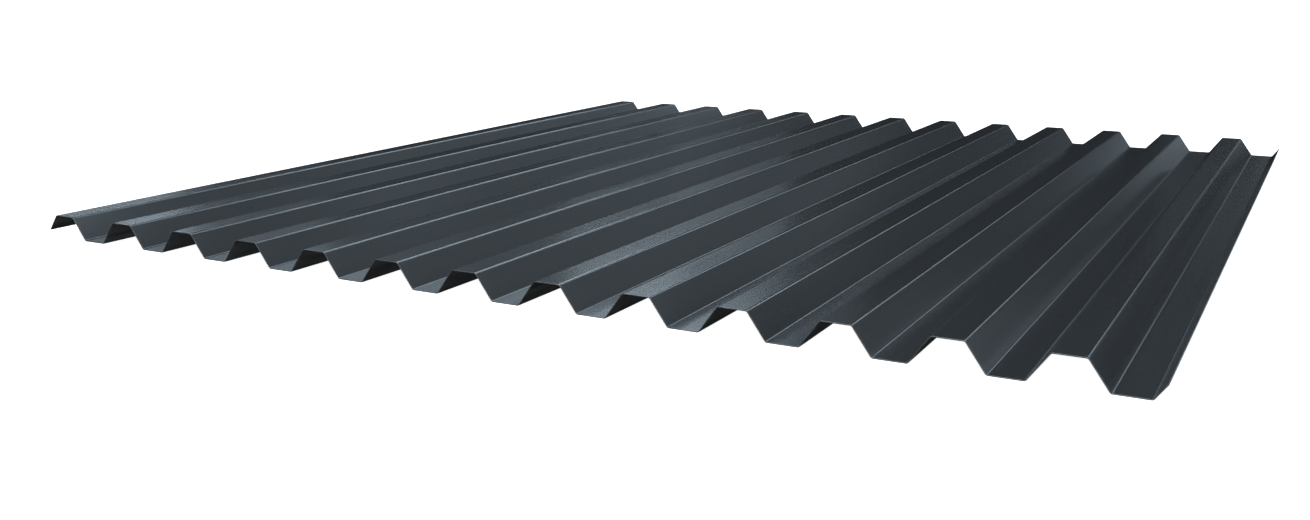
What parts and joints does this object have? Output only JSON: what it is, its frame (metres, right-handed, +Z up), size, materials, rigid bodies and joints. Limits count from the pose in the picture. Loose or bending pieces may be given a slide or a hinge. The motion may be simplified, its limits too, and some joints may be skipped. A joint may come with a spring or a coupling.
{
  "type": "trapezoidal corrugated steel sheet",
  "caption": "Roll-formed steel cladding sheet with straight trapezoidal corrugations, grey coated, with part-depth lap lips along its two long edges.",
  "frame": {"origin": "middle of the sheet in plan, at the level of the undersides of the valleys", "axes": "+X across the ribs, from the crown that ends in the free downward lip to the valley that ends in the upward lip; +Y along the ribs; +Z up, out of the weather face"},
  "size_m": [0.9792, 1.06, 0.021],
  "materials": {
    "coated_steel": "satin"
  },
  "bodies": {
    "root": {"corrugated_sheet": "coated_steel"}
  },
  "joints": []
}
